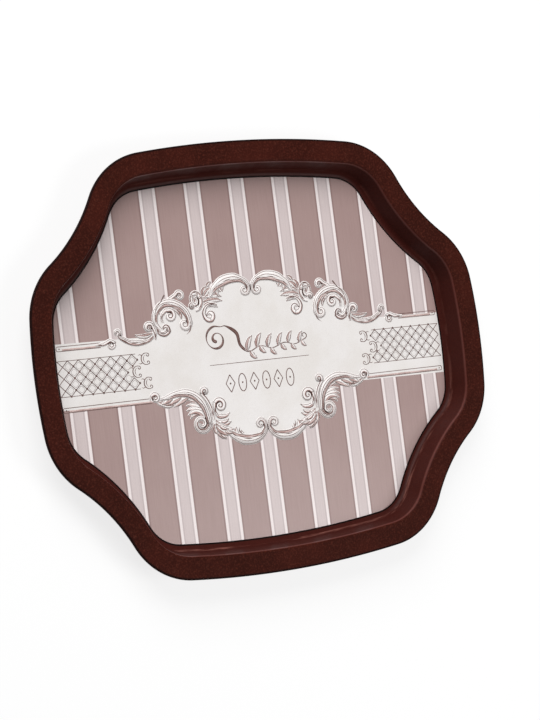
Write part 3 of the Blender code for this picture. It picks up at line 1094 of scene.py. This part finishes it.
# A square lattice: one lozenge of four bars on each point of a grid, with dots where they touch.
# The inner end's middle lozenge is left out. Each point of the object carries one lattice.
def latticeTree():
    kinds = {
        "Pitch": "Float",
        "Columns": "Int",
        "Rows": "Int",
        "Line": "Float",
        "Dot": "Float",
        "Inner Size": "Float",
        "Inner Line": "Float",
        "Thickness": "Float",
        "Material": "Material",
    }
    nodes, given = geometryTree("lozenge_lattice", kinds)
    pitch, columns, rows = (Number(nodes, given[name]) for name in ("Pitch", "Columns", "Rows"))
    thickness = Number(nodes, given["Thickness"])

    size = {0: (columns - 1) * pitch, 1: (rows - 1) * pitch, 2: columns, 3: rows}
    grid = nodes.add("GeometryNodeMeshGrid", None, size).outputs[0]
    position = nodes.add("GeometryNodeInputPosition").outputs[0]
    parts = nodes.add("ShaderNodeSeparateXYZ", None, {0: position}).outputs
    atEnd = pitch.math("GREATER_THAN", parts[0], (columns - 2) * pitch * 0.5)
    offMiddle = pitch.math("GREATER_THAN", abs(Number(nodes, parts[1])), pitch * 0.5)

    bar = nodes.vector(pitch * sqrt(0.5) + given["Line"], given["Line"], given["Thickness"])
    bar = nodes.add("GeometryNodeMeshCube", None, {0: bar}).outputs[0]
    cell = nodes.add("GeometryNodeJoinGeometry")
    for turn, across, up in ((45, -1, 1), (-45, 1, 1), (45, 1, -1), (-45, -1, -1)):
        shift = nodes.vector(pitch * 0.25 * across, pitch * 0.25 * up)
        sockets = {"Geometry": bar, "Translation": shift, "Rotation": (0, 0, radians(turn))}
        placed = nodes.add("GeometryNodeTransform", None, sockets).outputs[0]
        nodes.tree.links.new(placed, cell.inputs[0])
    sockets = {"Vertices": 8, "Radius": given["Dot"], "Depth": thickness * 1.2}
    spot = nodes.add("GeometryNodeMeshCylinder", None, sockets).outputs[0]
    for across, up in ((0.5, 0), (0, -0.5)):
        sockets = {"Geometry": spot, "Translation": nodes.vector(pitch * across, pitch * up)}
        placed = nodes.add("GeometryNodeTransform", None, sockets).outputs[0]
        nodes.tree.links.new(placed, cell.inputs[0])
    inner = {"Width": given["Inner Size"], "Height": given["Inner Size"]}
    square = nodes.add("GeometryNodeCurvePrimitiveQuadrilateral", None, inner).outputs[0]
    corner = {0: square, "Radius": Number(nodes, given["Inner Size"]) * 0.3, "Count": 3}
    square = nodes.add("GeometryNodeFilletCurve", {"mode": "POLY"}, corner).outputs[0]
    square = nodes.add("GeometryNodeSetCurveNormal", {"mode": "Z_UP"}, {0: square}).outputs[0]
    nib = {"Width": given["Inner Line"], "Height": thickness * 0.9}
    nib = nodes.add("GeometryNodeCurvePrimitiveQuadrilateral", None, nib).outputs[0]
    square = nodes.add("GeometryNodeCurveToMesh", None, {0: square, 1: nib}).outputs[0]
    turned = {"Geometry": square, "Rotation": (0, 0, radians(45))}
    turned = nodes.add("GeometryNodeTransform", None, turned).outputs[0]
    nodes.tree.links.new(turned, cell.inputs[0])
    between = {0: (columns - 2) * pitch, 1: (rows - 2) * pitch, 2: columns - 1, 3: rows - 1}
    between = nodes.add("GeometryNodeMeshGrid", None, between).outputs[0]
    sockets = {"Points": between, "Instance": turned}
    between = nodes.add("GeometryNodeInstanceOnPoints", None, sockets).outputs[0]
    kept = 1 - atEnd * (1 - offMiddle)
    sockets = {"Points": grid, "Instance": cell.outputs[0], "Selection": kept}
    panel = nodes.add("GeometryNodeInstanceOnPoints", None, sockets).outputs[0]
    panel = nodes.add("GeometryNodeJoinGeometry", None, {0: panel})
    nodes.tree.links.new(between, panel.inputs[0])
    panel = nodes.add("GeometryNodeGeometryToInstance", None, {0: panel.outputs[0]}).outputs[0]

    turn = nodes.number("GeometryNodeInputNamedAttribute", {"data_type": "FLOAT"}, {"Name": "turn"})
    sockets = {"Points": given["Geometry"], "Instance": panel, "Rotation": nodes.vector(z=turn)}
    both = nodes.add("GeometryNodeInstanceOnPoints", None, sockets).outputs[0]
    return closeTree(nodes, both, given["Material"])


latticeShape = {
    "pitch": 7.3,
    "columns": 7,
    "rows": 3,
    "inner": 87.2,  # where the outer rows end, from the print's middle
    "middle": -1.75,
    "line": 0.50,
    "dot": 0.75,
    "innerSize": 3.5,
    "innerLine": 0.17,
    "rise": 0.015,  # from the sheet's face to the middle of the lines' thickness
    "thickness": 0.03,
    "border": 0.19,
}


def latticePoints(name):  # a mesh of one point in the middle of each lattice
    shape = latticeShape
    x = shape["inner"] + shape["pitch"] * shape["columns"] / 2
    points = [onTray((side * x, shape["middle"], sheetTop + shape["rise"])) for side in (-1, 1)]
    mesh = bpy.data.meshes.new(name)
    mesh.from_pydata(points, [], [])
    turns = mesh.attributes.new("turn", "FLOAT", "POINT")
    turns.data.foreach_set("value", [printPlace["turn"], printPlace["turn"] + pi])
    made = bpy.data.objects.new(name, mesh)
    bpy.context.scene.collection.objects.link(made)
    return made


def latticeEdges():  # its border lines, and the half lozenges that the rim cuts
    shape = latticeShape
    half = shape["pitch"] / 2
    outer = shape["inner"] + shape["pitch"] * shape["columns"]
    for row in (-1, 0, 1):
        y = shape["middle"] + row * shape["pitch"]
        for side in (1, -1):
            line = [(-outer, y), (-outer - half, y + side * half)]
            stroke("ink", line, [shape["line"] / 2] * 2)
    for side, inner in ((1, shape["inner"] + 1), (-1, shape["inner"])):
        y = shape["middle"] + side * 1.5 * shape["pitch"]
        stroke("ink", [(-outer - half, y), (-inner, y)], [shape["border"]] * 2)


figureRow = {
    "middle": -15.6,
    "halfHeight": 5.6,
    "halfWidth": 3.3,
    "pitch": 8.9,
    "count": 6,
    "shift": -1.0,
    "line": 0.30,
}


def figures():  # a row of plain lozenges and ovals under the rule
    row = figureRow
    middle, tall, wide = row["middle"], row["halfHeight"], row["halfWidth"]
    for index in range(row["count"]):
        x = (index - (row["count"] - 1) / 2) * row["pitch"] + row["shift"]
        for side in (1, -1):
            if index % 2:
                turn = [pi * t / 16 - pi / 2 for t in range(17)]
                bow = [(x + side * wide * 0.85 * cos(a), middle + tall * sin(a)) for a in turn]
            else:
                bow = [(x, middle - tall), (x + side * wide, middle), (x, middle + tall)]
            stroke("ink", bow, [row["line"]] * len(bow), 1)
        dot((x, middle), 0.6, 1)


def labelOutline():  # the off-white ground of the label, inside its scrolls
    top = [(0, 46.5), (-6, 48), (-13, 50), (-21, 48.5), (-29, 42), (-35.5, 36.5), (-40, 35)]
    top += [(-46, 35), (-52, 36), (-60, 38), (-67, 35)]
    top += [(-70.5, 28), (-72.5, 20.5), (-77, 17.5), (-84, 16.5)]
    bottom = [(-84, -20), (-76, -20.8), (-66, -20), (-56, -19.5), (-49, -22), (-44, -29), (-41, -37)]
    bottom += [(-36, -42), (-28, -47.5), (-20, -51), (-12, -51.5), (-6, -48.5), (0, -46.5)]
    left = smoothLine(top) + smoothLine(bottom)
    return [*left, *((-point.x, point.y) for point in reversed(left[1:-1]))]


def ribbonOutline():  # right across the sheet, its ends following the rim
    top, bottom = labelShape["ribbonTop"], labelShape["ribbonBottom"]
    heights = [bottom + (top - bottom) * step / 12 for step in range(13)]
    return [(trayLength / mm, y) for y in heights] + [(-trayLength / mm, y) for y in reversed(heights)]


def addPrint(name, source, tree, values):
    piece = pieceFrom(name, source, tree, values)
    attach(piece, "root")


topScrolls()
bottomScrolls()
rods()
panelCurls()
latticeEdges()
mirrored()
sprig()
figures()

labelGround = inkFinish("label_ground", labelInk["ground"], labelInk["groundWarm"], 40)
inks = {
    "ground": inkFinish("scroll_ground", labelInk["scroll"], labelInk["scrollWarm"], 160),
    "tint": inkFinish("scroll_tint", labelInk["tint"], labelInk["tintDark"], 160),
    "ink": inkFinish("brown_ink", labelInk["ink"], labelInk["inkLight"], 240),
}
panels = flatTree()
for name, points, rise in (
    ("printed_ribbon", ribbonOutline(), labelShape["ribbonRise"]),
    ("printed_label", labelOutline(), labelShape["labelRise"]),
):
    source = curveFrom(name, [[onTray((x, y, 0)) for x, y in points]], cyclic=True)
    values = {
        "Base Height": (sheetTop - labelShape["sunk"]) * mm,
        "Thickness": (labelShape["sunk"] + rise) * mm,
        "Material": labelGround,
    }
    addPrint(name, source, panels, values)

strokes = strokeTree()
for layer, lines in drawn.items():
    placed = [[(*onTray(point), point[3] * mm) for point in line] for line in lines]
    source = curveFrom(layer, placed)
    values = {"Base Height": (sheetTop - labelShape["sunk"]) * mm, "Material": inks[layer]}
    addPrint("printed_" + layer, source, strokes, values)

values = {
    "Pitch": latticeShape["pitch"] * mm,
    "Columns": latticeShape["columns"],
    "Rows": latticeShape["rows"],
    "Line": latticeShape["line"] * mm,
    "Dot": latticeShape["dot"] * mm,
    "Inner Size": latticeShape["innerSize"] * mm,
    "Inner Line": latticeShape["innerLine"] * mm,
    "Thickness": latticeShape["thickness"] * mm,
    "Material": inkFinish("lattice_ink", labelInk["lattice"], labelInk["latticeLight"], 240),
}
addPrint("printed_lattice", latticePoints("lattices"), latticeTree(), values)
print("print drawn:", sum(len(lines) for lines in drawn.values()), "strokes")


# The foot pads, of soft rubber.
padLook = {
    "rubber": tone(30, 29, 28),
    "dust": tone(58, 55, 52),
    "roughness": 0.72,
    "specular": 0.3,
    "grain": 2200,
    "dustGrain": 320,
    "depth": 0.00003,
}


def padFinish():
    look = padLook
    finish = Finish("soft_rubber", {"Specular IOR Level": look["specular"]})
    grain = finish.noise(finish.place, look["grain"], 3, 0.6)
    dust = finish.noise(finish.place, look["dustGrain"], 3, 0.6)
    colour = finish.mix(dust.ramp(0.4, 0.8) * 0.6, look["rubber"], look["dust"])
    rough = look["roughness"] + (grain - 0.5) * 0.2
    relief = finish.bump(grain, look["depth"])
    finish.paint(Base_Color=colour, Roughness=rough, Normal=relief)
    return finish.material


def padMesh(name, place, material):  # turned from its section, with grooves underneath
    shape = padShape
    top = padHigh.z
    points = [(0, 0)]
    for groove in range(shape["grooves"]):
        middle = padRadius * (groove + 1) / (shape["grooves"] + 1)
        half, floor, depth = shape["grooveHalf"], shape["grooveFloor"], shape["grooveDepth"]
        points += [(middle - half, 0), (middle - floor, depth)]
        points += [(middle + floor, depth), (middle + half, 0)]
    edge, steps = shape["edge"], shape["edgeSteps"]
    points += fillet((padRadius - edge, edge), edge, -pi / 2, 0, steps)
    points += fillet((padRadius - edge, top - edge), edge, 0, pi / 2, steps)
    points.append((0, top))
    work = bmesh.new()
    verts = [work.verts.new((x, 0, z)) for x, z in points]
    turned = verts + [work.edges.new(pair) for pair in zip(verts, verts[1:])]
    about = {"axis": (0, 0, 1), "cent": (0, 0, 0), "angle": 2 * pi}
    bmesh.ops.spin(work, geom=turned, steps=shape["sides"], **about)
    bmesh.ops.remove_doubles(work, verts=work.verts, dist=weldDistance)
    bmesh.ops.recalc_face_normals(work, faces=work.faces)
    bmesh.ops.translate(work, verts=work.verts, vec=(*place, 0))
    mesh = bpy.data.meshes.new(name)
    work.to_mesh(mesh)
    work.free()
    mesh.materials.append(material)
    mesh.shade_smooth()
    mesh.set_sharp_from_angle(angle=radians(35))
    piece = bpy.data.objects.new(name, mesh)
    bpy.context.scene.collection.objects.link(piece)
    return piece


rubber = padFinish()
for nodeName, place in padPlaces.items():
    pad = padMesh(nodeName.replace("foot_pad", "rubber_pad"), place, rubber)
    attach(pad, "root")
    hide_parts(nodeName)
print("pads made")

# The floor it stands on, the lamps and the camera.
studio = {
    "floor": tone(128, 128, 128),
    "floorPatch": tone(140, 140, 142),
    "floorGlow": 0.80,
    "floorSize": 6.0,
    "world": 0.12,
    "sky": 0.95,
    "key": {"at": (-0.60, 1.42, 1.25), "size": 1.4, "power": 39.5},
    "fill": {"at": (0.75, -0.50, 1.15), "size": 0.7, "power": 8.4},
    "aim": (-0.0021, -0.0040, 0.020),
    "azimuth": -86.82,
    "elevation": 59.13,
    "distance": 1.3007,
    "roll": 79.64,
    "lens": 102.5,
}


def makeFloor():
    finish = Finish("studio_floor", {"Roughness": 0.9, "Specular IOR Level": 0.1})
    soft = finish.noise(finish.place, 3, 2, 0.5)
    colour = finish.mix(soft * 0.08, studio["floor"], studio["floorPatch"])
    finish.paint(Base_Color=colour)
    finish.shader.inputs["Emission Color"].default_value = (1, 1, 1, 1)
    finish.shader.inputs["Emission Strength"].default_value = studio["floorGlow"]
    half = studio["floorSize"] / 2
    mesh = bpy.data.meshes.new("studio_floor")
    corners = [(-half, -half, 0), (half, -half, 0), (half, half, 0), (-half, half, 0)]
    mesh.from_pydata(corners, [], [(0, 1, 2, 3)])
    mesh.materials.append(finish.material)
    floor = bpy.data.objects.new("studio_floor", mesh)
    bpy.context.scene.collection.objects.link(floor)


def makeLight(name, setting):
    light = bpy.data.lights.new(name, "AREA")
    light.shape = "SQUARE"
    light.size = setting["size"]
    light.energy = setting["power"]
    made = bpy.data.objects.new(name, light)
    made.location = setting["at"]
    made.rotation_mode = "QUATERNION"
    made.rotation_quaternion = (-Vector(setting["at"])).to_track_quat("-Z", "Y")
    bpy.context.scene.collection.objects.link(made)


def makeWorld():
    world = bpy.data.worlds.new("studio")
    world.use_nodes = True
    nodes = Nodes(world.node_tree)
    seen = nodes.number("ShaderNodeLightPath")
    strength = seen * (studio["sky"] - studio["world"]) + studio["world"]
    background = world.node_tree.nodes["Background"]
    background.inputs["Color"].default_value = (1, 1, 1, 1)
    world.node_tree.links.new(strength.socket, background.inputs["Strength"])
    bpy.context.scene.world = world


def makeCamera():
    camera = bpy.data.objects.new("camera", bpy.data.cameras.new("camera"))
    azimuth, elevation = radians(studio["azimuth"]), radians(studio["elevation"])
    level = cos(elevation)
    back = Vector((sin(azimuth) * level, -cos(azimuth) * level, sin(elevation)))
    camera.location = Vector(studio["aim"]) + back * studio["distance"]
    camera.rotation_mode = "QUATERNION"
    roll = Quaternion((0, 0, 1), radians(studio["roll"]))
    camera.rotation_quaternion = (-back).to_track_quat("-Z", "Y") @ roll
    camera.data.lens = studio["lens"]
    camera.data.sensor_width = 36
    camera.data.clip_start = 0.01
    bpy.context.scene.collection.objects.link(camera)
    bpy.context.scene.camera = camera


makeFloor()
makeWorld()
makeLight("key_softbox", studio["key"])
makeLight("fill_softbox", studio["fill"])
makeCamera()
bpy.context.scene.view_settings.view_transform = "Standard"
print("studio ready")
